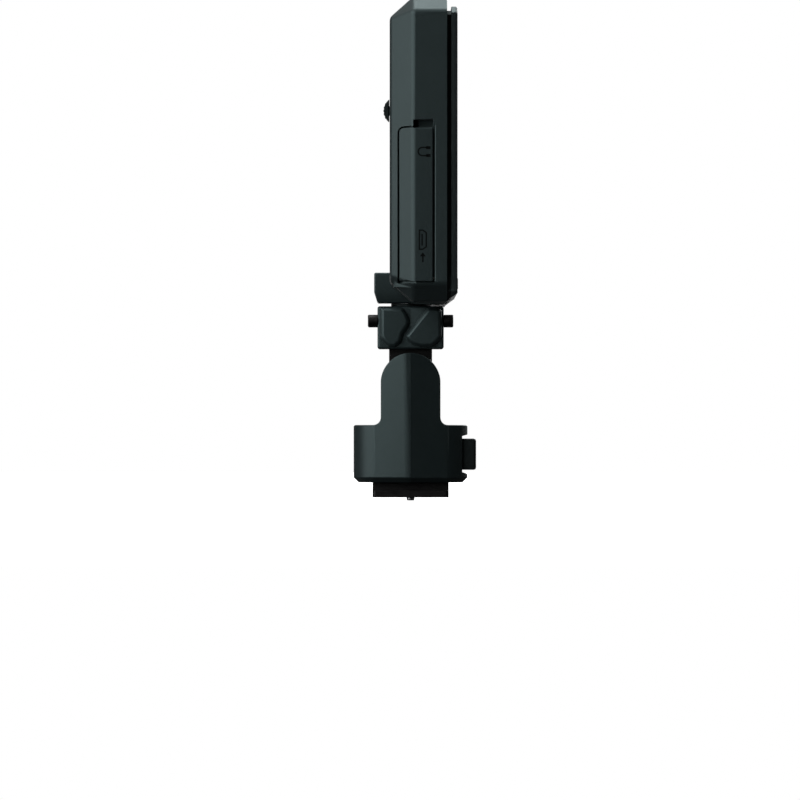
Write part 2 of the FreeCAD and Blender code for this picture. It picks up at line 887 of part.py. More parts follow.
def screw_posts():
    posts = []
    for place in case_screw_places():
        start = Vector(place.x, chassis_back, place.z)
        length = inner_rear + press_gap - chassis_back
        posts.append(rod(screw_head_radius + slide_gap + post_wall, length, start, y_axis))
    for place in boss_screw_places():
        start = Vector(place.x, -boss_front_reach + ear_thickness, place.z)
        posts.append(rod(screw_radius + post_wall, screw_bite + ear_thickness, start, y_axis))
    return posts


def battery_room_block(grow):
    """Battery bay in the rear cover, grown on all sides but towards the door."""
    half = battery_width / 2 + battery_room + grow
    high = door_high - battery_room
    low = high - battery_height - 2 * battery_room
    floor = case_rear - door_thickness - battery_room - battery_thickness
    return block(-half, half, floor - grow, case_rear - door_roll_radius, low - grow, high + grow)


def door_opening():
    half = door_width / 2 + move_gap
    low = door_axis_z - door_roll_radius - move_gap
    floor = case_rear - 2 * door_roll_radius - move_gap
    return block(-half, half, floor, case_rear + overrun, low, door_high + move_gap)


def door_frame():
    """Solid ledge round the door's opening, inside the rear wall."""
    half = door_width / 2 + move_gap + battery_wall
    low = door_axis_z - door_roll_radius - move_gap - battery_wall
    depth = 2 * door_roll_radius + move_gap + battery_wall
    high = door_high + move_gap + battery_wall
    return block(-half, half, case_rear - depth, inner_rear + press_gap, low, high)


def door_pin_half():
    return door_width / 2 + move_gap + door_pin_hold


def door_pin_start():
    return Vector(-door_pin_half(), door_axis_y, door_axis_z)


def latch_slot():
    half = latch_stem_width / 2 + slide_gap
    middle = (latch_low + latch_high) / 2
    low = middle - latch_stem_height / 2 - slide_gap
    return block(-half, half, inner_rear - overrun, case_rear + overrun, low,
                 low + latch_stem_height + latch_travel + 2 * slide_gap)


def latch_stop():
    half = latch_width / 2
    low = latch_high + latch_spring_room + run_gap
    front = inner_rear - latch_plate - slide_gap
    return block(-half, half, front, inner_rear + press_gap, low, low + case_wall)


def rear_cover():
    shell = rounded_case().cut(case_form(case_wall, case_mouth - overrun))
    inner_parts = [bay_pad_skin(), battery_room_block(battery_wall), door_frame(), latch_stop()]
    boss_seat = boss_form(slide_gap)
    below = block(-boss_half - slide_gap, boss_half + slide_gap, -boss_front_reach - slide_gap,
                  boss_half + slide_gap, case_bottom - overrun, boss_bottom + press_gap)
    pin_hole = rod_between(cover_pin_radius + press_gap, cover_pin_start(), cover_pin_end())
    door_hole = rod(door_pin_radius + press_gap, 2 * door_pin_half(), door_pin_start(), x_axis)
    cuts = [boss_seat, below, pin_hole, door_hole, battery_room_block(0), door_opening(), latch_slot()]
    cuts += bay_recess() + socket_holes() + case_screw_holes() + boss_screw_holes()
    return join([shell] + inner_parts + screw_posts()).cut(cuts)


def bezel_outline(inset, y):
    """Outline of the front plate, moved inwards by an inset."""
    shrink = corner_shrink_share * inset
    return octagon(case_half - bezel_side_inset - inset, case_bottom + bezel_bottom_inset + inset,
                   case_top - bezel_top_inset - inset, case_bottom_corner - bezel_corner_inset - shrink,
                   case_top_corner - bezel_corner_inset - shrink, y)


def chin_wedge():
    """Space under the sloping lower edge that the chin and the bezel share."""
    low = case_bottom + bezel_bottom_inset
    x = -case_half
    ahead = bezel_front - overrun
    points = [Vector(x, case_mouth, low), Vector(x, bezel_front, low + bezel_chamfer_rise),
              Vector(x, ahead, low + bezel_chamfer_rise), Vector(x, ahead, low - overrun),
              Vector(x, case_mouth, low - overrun)]
    return prism(points, x_axis * case_width)


def screen_block(width, height, front, back):
    return block(-width / 2, width / 2, front, back, panel_z - height / 2, panel_z + height / 2)


def key_x(index):
    return (index - (key_count - 1) / 2) * key_pitch


def key_block(index, grow, front, back):
    wide = key_width / 2 + grow
    tall = key_height / 2 + grow
    x = key_x(index)
    return block(x - wide, x + wide, front, back, key_z - tall, key_z + tall)


def key_pocket():
    reach = key_pitch * (key_count - 1) / 2 + key_width / 2 + key_flange + slide_gap
    tall = key_height / 2 + key_flange + slide_gap
    return block(-reach, reach, bezel_back - press_gap, ring_back + overrun, key_z - tall, key_z + tall)


def mid_frame():
    ring = prism(case_outline(case_wall + slide_gap, case_mouth), y_axis * ring_depth)
    collar = prism(bezel_outline(groove_inset, bezel_back), y_axis * groove_depth)
    chin = prism(bezel_outline(0, bezel_back), y_axis * groove_depth)
    chin_top = case_bottom + groove_low
    chin = chin.common(block(-case_half, case_half, bezel_back, case_mouth, case_bottom, chin_top))
    opening = screen_block(panel_width + 2 * slide_gap, panel_height + 2 * slide_gap, bezel_back - overrun,
                           ring_back + overrun)
    return join([ring, collar, chin]).cut([opening, key_pocket(), chin_wedge()] + chassis_screw_holes())


def front_bezel():
    plate = prism(bezel_outline(0, bezel_front), y_axis * bezel_thickness)
    rim = [edge for edge in plate.Edges if edge.BoundBox.YMax < bezel_front + press_gap
           and edge.BoundBox.ZMax > case_bottom + bezel_chamfer_rise + overrun]
    plate = plate.makeChamfer(bezel_edge_chamfer, rim)
    window = screen_block(window_width, window_height, bezel_front - overrun, bezel_back + overrun)
    rebate = screen_block(glass_width + 2 * slide_gap, glass_height + 2 * slide_gap,
                          bezel_back - glass_thickness, bezel_back + overrun)
    keys = [key_block(index, slide_gap, bezel_front - overrun, bezel_back + overrun)
            for index in range(key_count)]
    return plate.cut([window, rebate, chin_wedge()] + keys)


# Screen, chassis and boards

def screen_glass():
    return screen_block(glass_width, glass_height, bezel_back - glass_thickness, bezel_back)


def display_panel():
    return screen_block(panel_width, panel_height, bezel_back, bezel_back + panel_thickness)


def chassis_screw_places():
    half = chassis_width / 2 - chassis_screw_inset
    rises = [panel_z + side * (chassis_height / 2 - chassis_screw_inset) for side in sides]
    return [Vector(hand * half, chassis_back, z) for hand in sides for z in rises]


def chassis_screw_length():
    return chassis_thickness + ring_depth - 2 * slide_gap


def chassis_screw_holes():
    length = chassis_screw_length() + slide_gap
    return small_screw_holes(chassis_screw_places(), screw_head_height, length, -y_axis)


def flex_place(grow):
    z = case_bottom + flex_rise
    half = flex_width / 2 + grow
    return block(-half, half, ring_back, board_front, z - grow, z + flex_thickness + grow)


def chassis_plate():
    plate = screen_block(chassis_width, chassis_height, ring_back, chassis_back)
    return plate.cut(chassis_screw_holes() + case_screw_holes() + [flex_place(slide_gap)])


def board_screw_places():
    low = board_bottom + board_margin
    high = board_top - board_margin
    half = board_width / 2 - board_margin
    return [Vector(hand * half, board_back, z) for hand in sides for z in (low, high)]


def board_screw_length():
    return board_thickness + standoff_height - slide_gap


def board_screw_holes():
    length = board_screw_length() + slide_gap
    return small_screw_holes(board_screw_places(), screw_head_height, length, -y_axis)


def main_board():
    board = block(-board_width / 2, board_width / 2, board_front, board_back, board_bottom, board_top)
    return board.cut(board_screw_holes())


def board_standoffs():
    posts = []
    for place in board_screw_places():
        post = rod(standoff_radius, standoff_height, Vector(place.x, chassis_back, place.z), y_axis)
        posts.append(post.cut(board_screw_holes()))
    return group(posts)


def board_chips():
    chips = []
    z = board_top - chip_drop - chip_side
    for index in range(chip_count):
        x = (index - (chip_count - 1) / 2) * chip_pitch
        chips.append(block(x - chip_side / 2, x + chip_side / 2, board_back, board_back + chip_height,
                           z, z + chip_side))
    return group(chips)


# Sockets and terminal cover

def jack_board():
    left = socket_front() + bay_pad + slide_gap
    low = case_bottom + jack_board_low
    return block(left, left + jack_board_width, chassis_back, chassis_back + jack_board_thickness, low,
                 low + jack_board_height)


def headphone_jack():
    place = headphone_place()
    back = place.x + bay_pad + headphone_step
    half = headphone_block / 2
    body = block(back, place.x + socket_depth + bay_pad, chassis_back + jack_board_thickness, place.y + half,
                 place.z - half, place.z + half)
    barrel = rod(headphone_barrel_radius, bay_pad + headphone_step, place, x_axis)
    bore = rod(headphone_bore_radius, socket_depth + overrun, place - x_axis * overrun, x_axis)
    return join([body, barrel]).cut(bore)


def video_socket():
    place = video_place()
    shell = video_block(place.x, 0)
    wide = video_mouth_width / 2
    tall = video_mouth_length / 2
    foot = block(place.x + bay_pad + slide_gap, place.x + socket_depth,
                 chassis_back + jack_board_thickness, place.y, place.z - tall, place.z + tall)
    mouth = block(place.x - overrun, place.x + video_mouth_depth, place.y - wide, place.y + wide,
                  place.z - tall, place.z + tall)
    blade = block(place.x + overrun, place.x + video_mouth_depth + overrun, place.y - video_shell / 2,
                  place.y + video_shell / 2, place.z - tall + overrun, place.z + tall - overrun)
    return join([join([shell, foot]).cut(mouth), blade])


def terminal_cover():
    skin = edge_skin(0, cover_thickness, cover_front, cover_rear, cover_axis_z - cover_tail, cover_top)
    skin = round_upper_rear(skin, cover_corner).common(rounded_case())
    roll_rear = knee_at(cover_thickness)
    roll_start = Vector(cover_axis_x, cover_front, cover_axis_z)
    roll = rod(cover_thickness / 2, roll_rear - cover_front, roll_start, y_axis)
    bore = rod_between(cover_pin_radius + run_gap, cover_pin_start(), cover_pin_end())
    return join([skin, roll]).cut(bore)


def cover_pin():
    return rod_between(cover_pin_radius, cover_pin_start(), cover_pin_end())


# Battery, door and latch

def battery_door():
    half = door_width / 2
    plate = block(-half, half, case_rear - door_thickness, case_rear, door_axis_z, door_high)
    roll = rod(door_roll_radius, door_width, Vector(-half, door_axis_y, door_axis_z), x_axis)
    bore = rod(door_pin_radius + run_gap, 2 * door_pin_half(), door_pin_start(), x_axis)
    return join([plate, roll]).cut(bore)


def door_pin():
    return rod(door_pin_radius, 2 * door_pin_half(), door_pin_start(), x_axis)


def battery_pack():
    half = battery_width / 2
    high = door_high - 2 * battery_room
    floor = case_rear - door_thickness - battery_room - battery_thickness
    pack = block(-half, half, floor, floor + battery_thickness, high - battery_height, high)
    return pack.makeFillet(battery_thickness / 8, pack.Edges)


def battery_contacts():
    x = -battery_width / 2 - battery_room
    high = door_high - 2 * battery_room
    floor = case_rear - door_thickness - battery_room - battery_thickness
    blades = []
    for index in range(contact_count):
        z = high - battery_height / 2 + (index - (contact_count - 1) / 2) * contact_pitch
        blades.append(block(x, x + battery_room / 2, floor, floor + battery_thickness / 2,
                            z, z + contact_width))
    return group(blades)


def battery_latch():
    half = latch_width / 2
    base = case_rear + latch_lift
    middle = (latch_low + latch_high) / 2
    low = Vector(-half, base, latch_low)
    high = Vector(-half, base, latch_high)
    crown = Vector(-half, case_rear + latch_stand, middle)
    knob = Part.Face(Part.Wire([arc(low, crown, high), line(high, low)])).extrude(x_axis * latch_width)
    stem = block(-latch_stem_width / 2, latch_stem_width / 2, inner_rear - slide_gap, base,
                 middle - latch_stem_height / 2, middle + latch_stem_height / 2)
    plate = block(-half, half, inner_rear - slide_gap - latch_plate, inner_rear - slide_gap,
                  latch_low + door_roll_radius, latch_high)
    return join([knob, stem, plate])


def latch_spring():
    half = latch_width / 2
    y = inner_rear - slide_gap - latch_plate
    top = latch_high + latch_spring_room
    feet = [Vector(hand * half, y, top) for hand in sides]
    crown = Vector(0, 0, -latch_spring_room + spring_strip + 2 * run_gap)
    return bow_strip(feet[0], feet[1], crown, y_axis * latch_plate)


# Front keys

def key_cap(index):
    front = bezel_front - key_stand
    back = bezel_back + run_gap + key_flange_thickness
    cap = key_block(index, 0, front, back)
    rim = [edge for edge in cap.Edges if edge.BoundBox.YMax < front + press_gap]
    cap = cap.makeChamfer(key_stand / 2, rim)
    x = key_x(index)
    half = key_switch_side / 4
    stem = block(x - half, x + half, back, key_board_front - key_switch_height - key_travel - run_gap,
                 key_z - half, key_z + half)
    return join([cap, key_block(index, key_flange, bezel_back + run_gap, back), stem])


def key_board():
    pocket = key_pocket().BoundBox
    return block(pocket.XMin + press_gap, pocket.XMax - press_gap, key_board_front, ring_back,
                 pocket.ZMin + press_gap, pocket.ZMax - press_gap)


def key_switches():
    half = key_switch_side / 2
    return group([block(key_x(index) - half, key_x(index) + half, key_board_front - key_switch_height,
                        key_board_front, key_z - half, key_z + half) for index in range(key_count)])


def make_parts():
    foot = foot_solid()
    parts = {
        "foot_shell_rear": split_along_y(foot, 1),
        "foot_shell_front": split_along_y(foot, -1),
        "foot_screws": small_screws(foot_screw_places(), foot_screw_length(), -y_axis),
        "base_plate": base_plate(),
        "shoe_plate": shoe_plate(),
        "shoe_screws": small_screws(shoe_screw_places(), shoe_screw_length(), z_axis),
        "tilt_pin": tilt_pin(),
        "friction_washers": friction_washers(),
        "button_spring": button_spring(),
        "release_button": release_button(),
        "button_slider": button_slider(),
        "lock_pin": lock_pin(),
        "cross_pin": cross_pin(),
        "tilt_bracket": tilt_bracket(),
        "block_shell_front": block_shell(-1, front_pad_shares),
        "block_shell_rear": block_shell(1, rear_pad_shares),
        "block_bolts": block_bolts(),
        "block_nuts": block_nuts(),
        "swivel_washer": swivel_washer(),
        "swivel_post": swivel_post(),
        "swivel_boss": swivel_boss(),
        "boss_screws": small_screws(boss_screw_places(), ear_thickness + screw_bite - slide_gap, y_axis),
        "rear_cover": rear_cover(),
        "mid_frame": mid_frame(),
        "front_bezel": front_bezel(),
        "screen_glass": screen_glass(),
        "display_panel": display_panel(),
        "chassis_plate": chassis_plate(),
        "chassis_screws": small_screws(chassis_screw_places(), chassis_screw_length(), -y_axis),
        "case_screws": small_screws(case_screw_places(), case_screw_length(), -y_axis),
        "main_board": main_board(),
        "board_standoffs": board_standoffs(),
        "board_screws": small_screws(board_screw_places(), board_screw_length(), -y_axis),
        "board_chips": board_chips(),
        "panel_flex": flex_place(0),
        "jack_board": jack_board(),
        "headphone_jack": headphone_jack(),
        "video_socket": video_socket(),
        "terminal_cover": terminal_cover(),
        "cover_pin": cover_pin(),
        "battery_pack": battery_pack(),
        "battery_contacts": battery_contacts(),
        "battery_door": battery_door(),
        "door_pin": door_pin(),
        "battery_latch": battery_latch(),
        "latch_spring": latch_spring(),
        "key_board": key_board(),
        "key_switches": key_switches(),
    }
    for index, name in enumerate(key_names):
        parts["key_" + name] = key_cap(index)
    return parts


os.makedirs("parts", exist_ok=True)
for name, shape in make_parts().items():
    shape.exportStep("parts/" + name + ".step")
    print(name, len(shape.Solids), round(shape.Volume, 2), shape.isValid())
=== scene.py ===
import json
import math

import bmesh
import bpy
from mathutils import Matrix, Vector
from mathutils.bvhtree import BVHTree


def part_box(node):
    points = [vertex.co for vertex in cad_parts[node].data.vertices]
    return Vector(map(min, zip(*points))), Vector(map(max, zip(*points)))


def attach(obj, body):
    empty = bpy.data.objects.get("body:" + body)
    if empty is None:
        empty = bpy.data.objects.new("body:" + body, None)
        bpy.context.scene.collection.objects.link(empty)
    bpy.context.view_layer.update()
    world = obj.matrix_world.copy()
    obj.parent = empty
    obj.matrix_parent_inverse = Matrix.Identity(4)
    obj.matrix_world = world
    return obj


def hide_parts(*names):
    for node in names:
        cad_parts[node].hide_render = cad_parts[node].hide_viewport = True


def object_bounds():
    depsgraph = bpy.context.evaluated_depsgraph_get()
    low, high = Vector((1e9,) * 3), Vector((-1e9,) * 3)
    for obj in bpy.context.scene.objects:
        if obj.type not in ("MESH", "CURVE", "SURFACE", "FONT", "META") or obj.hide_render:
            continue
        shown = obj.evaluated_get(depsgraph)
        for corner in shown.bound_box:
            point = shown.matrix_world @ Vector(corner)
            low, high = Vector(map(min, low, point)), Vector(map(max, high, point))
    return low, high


# Looks of a camera field monitor on a tilting shoe foot, in metres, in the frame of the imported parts.
# The screen faces -Y, +Z is up, and the picture is taken from the -X side.
mm = 0.001

# Picture: what the camera takes in, and from how far
picture_width = 242.4 * mm
picture_centre = Vector((0, 3.2 * mm, 29.4 * mm))
camera_distance = 2.3
sensor_width = 36
view_depth = 100

# Soft boxes, each with its place, width, height and power in watts
lamps = {
    "overhead": (Vector((0, 0.1, 1.3)), 0.6, 0.6, 10),
    "left_box": (Vector((-0.8, 0.96, 0.45)), 1.7, 1.0, 15),
    "front_fill": (Vector((1.3, -0.8, 0.8)), 0.9, 0.9, 24),
}
surround_light = 0.1
floor_size = 1.8
floor_gap = 0.2 * mm
floor_grey = 0.8
floor_roughness = 0.9
floor_glow = 0.85

# Dark cards that the camera doesn't see, each with its grey and its four corners
dark_cards = {
    "camera_card": (0.01, [(-1.4, -1.4, 0), (-1.4, 0.3, 0), (-1.4, 0.3, 1.2), (-1.4, -1.4, 1.2)]),
    "front_card": (0.01, [(-1.4, -1.4, 0), (1.0, -1.5, 0), (1.0, -1.5, 1.0), (-1.4, -1.4, 1.0)]),
    "rear_card": (0.01, [(0, 1.7, 0), (1.4, 0.8, 0), (1.4, 0.8, 1.0), (0, 1.7, 1.0)]),
    "back_card": (0.01, [(1.4, -1.2, 0), (1.4, 1.2, 0), (1.4, 1.2, 1.0), (1.4, -1.2, 1.0)]),
    "table_card": (0.06, [(-1.4, -0.9, -0.001), (0.5, -0.9, -0.001),
                          (0.5, 0.8, -0.001), (-1.4, 0.8, -0.001)]),
}

# Values that most of a noise lies between, and places of the colour sockets on a mix node
noise_low = 0.3
noise_high = 0.7
mix_share = 0
mix_first = 6
mix_second = 7
mix_result = 2

# Wear and painted highlight on rounded edges, broken up by patches
wear_and_highlight_patch = 2.5 * mm
least_wear_and_highlight = 0.15

# Plastics: cool-tinted reflections, mottling, grain with pits, and edges paler from wear and painted
# highlight.
# Tones are shares of the base colour, sizes of pits are shares of the grain's.
cool_tint = (0.74, 0.99, 1.0, 1)
mottle_size = 9 * mm
mottle_tones = (0.96, 1.04)
mottle_roughness = 0.015
grain_depth = 0.012 * mm
grain_tone = 1.35
grain_share = 0.35
grain_roughness = 0.04
pit_size = 0.8
pit_height = 0.6
worn_and_highlight_tone = 2.4
worn_polish = 0.12

# Metals: drawn lines, stains, and edges brighter from wear and painted highlight
line_size = 0.6 * mm
line_depth = 0.004 * mm
line_roughness = 0.08
stain_size = 4 * mm
stain_tones = (0.8, 1.1)
stain_roughness = (-0.03, 0.05)
metal_wear_and_highlight_tone = 1.4

# Circuit boards: pattern of tracks, stains and varnish
track_scale = 260
track_gap = 0.05
track_length = 1.6
track_height = 0.4
track_tones = (0.9, 1.1)
track_depth = 0.02 * mm
copper_tone = 1.9
board_stain = 3 * mm
board_stain_tone = 0.7
board_stain_share = 0.5
varnish_size = 1 * mm
varnish_roughness = (0.25, 0.42)

# Screen: dots of the panel, its tint in broad patches that are partly painted sheen, wiping on the glass
dot_size = 0.14 * mm
dot_share = 0.5
dot_roughness = (0.3, 0.42)
tint_and_sheen_size = 40 * mm
wipe_size = 6 * mm
wipe_stretch = (0.2, 1, 1)
wipe_roughness = (0.02, 0.07)
glass_refraction = 1.5

# Inks and the signal light's lens
ink_patch = 0.5 * mm
ink_tones = (0.8, 1.15)
ink_roughness = (0.5, 0.65)
facet_size = 0.3 * mm
facet_roughness = (0.08, 0.2)
lens_coat = 0.6

# Rounding of moulded edges
weld_distance = 0.002 * mm
flat_angle = math.radians(0.4)
corner_angle = math.radians(24)
rounding_steps = 3
round_profile = 0.5
seam_reach = 0.03 * mm
smooth_angle = math.radians(36)
probe_lift = 0.01 * mm
probe_reach = 0.3

# Finger recess of the battery door, and dish of the release button.
# An edge counts as lying along an axis when the cosine between them is over least_alignment.
recess_steps = 6
least_alignment = 0.9
grip_length = 18 * mm
grip_height = 7 * mm
grip_drop = 3 * mm
grip_depth = 0.6 * mm
grip_rounding = 1.4 * mm
dish_size = Vector((9.6 * mm, 7 * mm))
dish_depth = 0.35 * mm
dish_rounding = 0.9 * mm

right = Vector((1, 0, 0))
back = Vector((0, 1, 0))
up = Vector((0, 0, 1))

# Printed and raised marks; a rib's rounding is a share of its width or height, the lesser of them
print_lift = 0.015 * mm
print_sink = 0.02 * mm
arc_steps = 16
rib_rounding = 0.4


def from_screen(red, green, blue):
    """Shader colour for a screen colour given in 8-bit steps, by the sRGB curve."""
    linear = []
    for step in (red, green, blue):
        share = step / 255
        linear.append(share / 12.92 if share <= 0.04045 else ((share + 0.055) / 1.055) ** 2.4)
    return (*linear, 1)


def scaled(colour, factor):
    return (*[channel * factor for channel in colour[:3]], 1)


def tones(colour, factors):
    return [scaled(colour, factor) for factor in factors]


# Shader building

def new_finish(name):
    material = bpy.data.materials.new(name)
    material.use_nodes = True
    return material, material.node_tree, material.node_tree.nodes["Principled BSDF"]


def add(tree, kind, inputs, **settings):
    """New shader node; an input has a name or a place, and is a value or another node's output."""
    made = tree.nodes.new(kind)
    for name, value in settings.items():
        setattr(made, name, value)
    for name, value in inputs.items():
        if isinstance(value, bpy.types.NodeSocket):
            tree.links.new(value, made.inputs[name])
        else:
            made.inputs[name].default_value = value
    return made


def place_in_part(tree):
    return add(tree, "ShaderNodeTexCoord", {}).outputs["Object"]


def noise(tree, place, size, detail=2.0):
    made = add(tree, "ShaderNodeTexNoise", {"Vector": place, "Scale": 1 / size, "Detail": detail})
    return made.outputs["Fac"]


def cells(tree, place, size):
    made = add(tree, "ShaderNodeTexVoronoi", {"Vector": place, "Scale": 1 / size})
    return made.outputs["Distance"]


def stretch(tree, place, factors):
    return add(tree, "ShaderNodeMapping", {"Vector": place, "Scale": factors}).outputs["Vector"]


def spread(tree, value, low, high, from_low=noise_low, from_high=noise_high):
    """Value taken from one range to another, and held inside it."""
    made = add(tree, "ShaderNodeMapRange", {"Value": value, "From Min": from_low, "From Max": from_high,
                                            "To Min": low, "To Max": high})
    return made.outputs["Result"]


def sums(tree, kind, first, second):
    return add(tree, "ShaderNodeMath", {0: first, 1: second}, operation=kind).outputs["Value"]


def mixed(tree, share, first, second):
    made = add(tree, "ShaderNodeMix", {mix_share: share, mix_first: first, mix_second: second},
               data_type="RGBA")
    return made.outputs[mix_result]


def bumped(tree, height, depth):
    made = add(tree, "ShaderNodeBump", {"Height": height, "Distance": depth, "Strength": 1.0})
    return made.outputs["Normal"]


def edge_wear_and_highlight_share(tree, place):
    """Broken-up share of wear and painted highlight on the rounded edges of a softened piece."""
    wear_and_highlight = add(tree, "ShaderNodeAttribute", {}, attribute_name="edge_wear_and_highlight").outputs["Fac"]
    patches = spread(tree, noise(tree, place, wear_and_highlight_patch, detail=4), least_wear_and_highlight, 1.0)
    return sums(tree, "MULTIPLY", wear_and_highlight, patches)


def moulded_plastic(name, colour, roughness, grain=0.35 * mm, wear_and_highlight=0.5, shine=0.4):
    """Spark-eroded moulded plastic: fine pitted grain, faint mottling, edges paler from wear and painted
    highlight, and smoother from wear.
    """
    material, tree, shader = new_finish(name)
    place = place_in_part(tree)
    mottle = noise(tree, place, mottle_size, detail=4)
    fine = noise(tree, place, grain, detail=3)
    pits = cells(tree, place, grain * pit_size)
    worn_and_highlit = sums(tree, "MULTIPLY", edge_wear_and_highlight_share(tree, place), wear_and_highlight)
    body = mixed(tree, spread(tree, mottle, 0, 1), *tones(colour, mottle_tones))
    grained = mixed(tree, spread(tree, fine, 0, grain_share), body, scaled(colour, grain_tone))
    # Rounded edges are mixed towards a paler colour, partly as wear and partly as painted highlight.
    tree.links.new(mixed(tree, worn_and_highlit, grained, scaled(colour, worn_and_highlight_tone)), shader.inputs["Base Color"])
    uneven = spread(tree, mottle, roughness - mottle_roughness, roughness + mottle_roughness)
    rough = sums(tree, "ADD", uneven, spread(tree, fine, -grain_roughness, grain_roughness))
    tree.links.new(sums(tree, "SUBTRACT", rough, sums(tree, "MULTIPLY", worn_and_highlit, worn_polish)),
                   shader.inputs["Roughness"])
    relief = sums(tree, "ADD", fine, sums(tree, "MULTIPLY", pits, pit_height))
    tree.links.new(bumped(tree, relief, grain_depth), shader.inputs["Normal"])
    shader.inputs["Specular IOR Level"].default_value = shine
    shader.inputs["Specular Tint"].default_value = cool_tint
    return material


def brushed_metal(name, colour, roughness, lines, metallic=1.0):
    """Metal with fine drawn lines along one direction, faint stains, and edges brighter from wear and
    painted highlight.
    """
    material, tree, shader = new_finish(name)
    place = place_in_part(tree)
    strokes = noise(tree, stretch(tree, place, lines), line_size, detail=3)
    stains = noise(tree, place, stain_size, detail=4)
    worn_and_highlit = edge_wear_and_highlight_share(tree, place)
    body = mixed(tree, spread(tree, stains, 0, 1), *tones(colour, stain_tones))
    # Rounded edges are mixed towards a brighter colour, partly as wear and partly as painted highlight.
    tree.links.new(mixed(tree, worn_and_highlit, body, scaled(colour, metal_wear_and_highlight_tone)), shader.inputs["Base Color"])
    rough = spread(tree, strokes, roughness - line_roughness, roughness + line_roughness)
    tree.links.new(sums(tree, "ADD", rough, spread(tree, stains, *stain_roughness)),
                   shader.inputs["Roughness"])
    tree.links.new(bumped(tree, strokes, line_depth), shader.inputs["Normal"])
    shader.inputs["Metallic"].default_value = metallic
    return material


def printed_board(name, colour):
    """Circuit board: solder mask with paler copper tracks under it."""
    material, tree, shader = new_finish(name)
    place = place_in_part(tree)
    duller, brighter = tones(colour, track_tones)
    tracks = add(tree, "ShaderNodeTexBrick", {
        "Vector": place,
        "Scale": track_scale,
        "Mortar Size": track_gap,
        "Brick Width": track_length,
        "Row Height": track_height,
        "Color1": duller,
        "Color2": brighter,
        "Mortar": scaled(colour, copper_tone),
    })
    stains = spread(tree, noise(tree, place, board_stain), 0, board_stain_share)
    tree.links.new(mixed(tree, stains, tracks.outputs["Color"], scaled(colour, board_stain_tone)),
                   shader.inputs["Base Color"])
    tree.links.new(spread(tree, noise(tree, place, varnish_size), *varnish_roughness),
                   shader.inputs["Roughness"])
    tree.links.new(bumped(tree, tracks.outputs["Fac"], track_depth), shader.inputs["Normal"])
    return material


def off_display(name):
    """Panel that is switched off: near black with a blue-black tint, mottled in broad patches that are
    partly painted sheen, and its fine grid of dots.
    """
    material, tree, shader = new_finish(name)
    place = place_in_part(tree)
    dots = cells(tree, place, dot_size)
    # Blue-black tone, partly the panel's own and partly painted sheen, varied in broad patches.
    panel_tint_and_sheen = mixed(tree, spread(tree, noise(tree, place, tint_and_sheen_size), 0, 1), from_screen(15, 17, 22),
                 from_screen(20, 21, 27))
    tree.links.new(mixed(tree, spread(tree, dots, 0, dot_share), panel_tint_and_sheen, from_screen(9, 10, 13)),
                   shader.inputs["Base Color"])
    tree.links.new(spread(tree, dots, *dot_roughness), shader.inputs["Roughness"])
    return material


def clear_glass(name):
    """Cover glass with the faintest trace of wiping on it."""
    material, tree, shader = new_finish(name)
    place = place_in_part(tree)
    wipes = noise(tree, stretch(tree, place, wipe_stretch), wipe_size, detail=5)
    tree.links.new(spread(tree, wipes, *wipe_roughness), shader.inputs["Roughness"])
    shader.inputs["Base Color"].default_value = from_screen(214, 222, 226)
    shader.inputs["Transmission Weight"].default_value = 1.0
    shader.inputs["IOR"].default_value = glass_refraction
    return material


def printed_ink(name, colour, shine):
    """Pad-printed ink, a little uneven."""
    material, tree, shader = new_finish(name)
    place = place_in_part(tree)
    patches = noise(tree, place, ink_patch, detail=4)
    tree.links.new(mixed(tree, spread(tree, patches, 0, 1), *tones(colour, ink_tones)),
                   shader.inputs["Base Color"])
    tree.links.new(spread(tree, patches, *ink_roughness), shader.inputs["Roughness"])
    shader.inputs["Specular IOR Level"].default_value = shine
    return material


def smoked_lens(name):
    """Lens of a signal light that is off: smoked, with a moulded texture."""
    material, tree, shader = new_finish(name)
    place = place_in_part(tree)
    facets = cells(tree, place, facet_size)
    red = mixed(tree, spread(tree, facets, 0, 1), from_screen(70, 22, 18), from_screen(110, 40, 32))
    tree.links.new(red, shader.inputs["Base Color"])
    tree.links.new(spread(tree, facets, *facet_roughness), shader.inputs["Roughness"])
    shader.inputs["Coat Weight"].default_value = lens_coat
    return material


